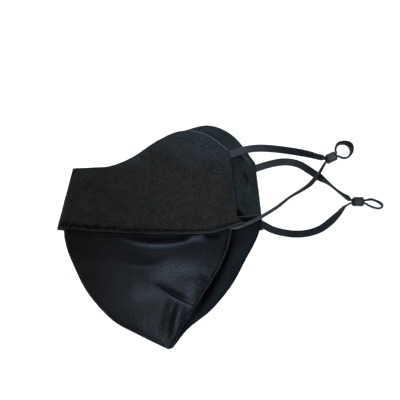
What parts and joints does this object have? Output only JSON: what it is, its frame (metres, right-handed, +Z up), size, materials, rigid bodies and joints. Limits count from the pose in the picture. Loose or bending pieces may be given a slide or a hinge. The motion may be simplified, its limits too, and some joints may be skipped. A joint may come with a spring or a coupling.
{
  "type": "sun protection face cover",
  "caption": "Soft two-panel face cover folded flat on its side, open beneath the nose hem, with flat elastic ear straps and barrel adjusters.",
  "frame": {"origin": "bottom centre of the folded mask's box, straps left out, on the surface it lies on", "axes": "+Z up from the surface that the right half lies on, +Y from the chin towards the eyes, +X from the nose seam towards the ear straps"},
  "size_m": [0.245, 0.1731, 0.0178],
  "materials": {
    "matte_cloth": "matt fine-woven cloth with a faint sheen",
    "satin_cloth": "satin with a soft cool sheen",
    "elastic": "flat knitted elastic",
    "soft_plastic": "smoky silicone with a soft gloss"
  },
  "bodies": {
    "root": {"upper_panel_left": "matte_cloth", "upper_panel_right": "matte_cloth", "lower_panel_left": "satin_cloth", "lower_panel_right": "satin_cloth", "ear_strap_left": "elastic", "ear_strap_right": "elastic", "strap_adjuster_left": "soft_plastic", "strap_adjuster_right": "soft_plastic"}
  },
  "joints": []
}
